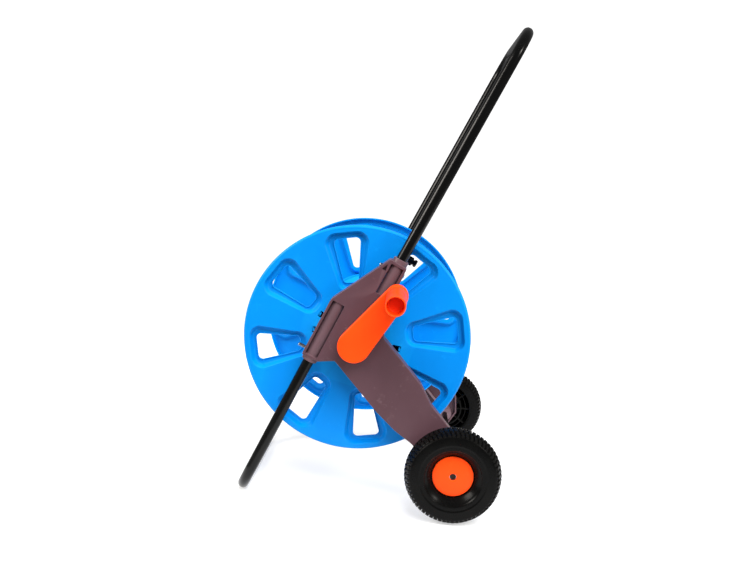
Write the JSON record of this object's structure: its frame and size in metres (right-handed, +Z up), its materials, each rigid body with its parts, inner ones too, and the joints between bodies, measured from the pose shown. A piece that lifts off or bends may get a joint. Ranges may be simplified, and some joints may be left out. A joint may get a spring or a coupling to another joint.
{
  "type": "hose reel cart",
  "caption": "Two-wheeled garden hose reel cart with a bent tube handle and foot bar, side brackets, and a windowed reel turned by a crank with a free grip.",
  "frame": {"origin": "centre of the bounding box on the floor the cart stands on", "axes": "+Z up; +X from the foot bar towards the wheels, the way the handle leans; Y along the reel and wheel axes, with the crank on the -Y side"},
  "size_m": [0.4774, 0.522, 0.833],
  "materials": {
    "plum_plastic": "moulded, faintly grained satin",
    "black_enamel": "glossy black enamel on bent steel tube",
    "bright_steel": "bright plated",
    "zinc_steel": "zinc plated",
    "axle_steel": "drawn rod",
    "black_plastic": "moulded satin",
    "blue_plastic": "moulded, soft gloss",
    "orange_plastic": "moulded, soft gloss",
    "seal_rubber": "smooth",
    "black_tyre": "moulded satin black with a small-block tread"
  },
  "bodies": {
    "frame": {"near_bracket": "plum_plastic", "far_bracket": "plum_plastic", "handle_tube": "black_enamel", "foot_tube": "black_enamel", "clamp_bolts": "bright_steel", "swivel_seals": "seal_rubber", "inlet_connector": "black_plastic", "inlet_screws": "zinc_steel", "axle_rod": "axle_steel", "axle_washers": "zinc_steel", "axle_clips": "bright_steel"},
    "reel": {"near_flange": "blue_plastic", "far_flange": "blue_plastic", "upper_drum_half": "blue_plastic", "lower_drum_half": "blue_plastic", "drive_spindle": "black_plastic", "water_spindle": "black_plastic", "hub_screws": "zinc_steel", "crank_arm": "orange_plastic", "crank_screw": "zinc_steel"},
    "grip": {"crank_grip": "orange_plastic", "grip_screw": "zinc_steel"},
    "near_wheel": {"near_wheel": "black_tyre", "near_hub_cap": "orange_plastic"},
    "far_wheel": {"far_wheel": "black_tyre", "far_hub_cap": "orange_plastic"},
    "knob": {"clamp_knob": "black_plastic", "knob_stud": "bright_steel"}
  },
  "joints": [
    {"name": "reel_spin", "type": "hinge", "parent": "frame", "child": "reel", "pos_m": [-0.03358, 0.035, 0.2895], "axis": [0, 1, 0], "continuous": true},
    {"name": "grip_spin", "type": "hinge", "parent": "reel", "child": "grip", "pos_m": [0.03444, -0.21, 0.37847], "axis": [0, 1, 0], "continuous": true},
    {"name": "near_wheel_spin", "type": "hinge", "parent": "frame", "child": "near_wheel", "pos_m": [0.14341, -0.17, 0.0825], "axis": [0, 1, 0], "continuous": true},
    {"name": "far_wheel_spin", "type": "hinge", "parent": "frame", "child": "far_wheel", "pos_m": [0.14341, 0.24, 0.0825], "axis": [0, 1, 0], "continuous": true},
    {"name": "knob_turn", "type": "hinge", "parent": "frame", "child": "knob", "pos_m": [0.02823, 0.192, 0.41512], "axis": [0.8973, 0, -0.4415], "range_deg": [0, 1080]}
  ]
}
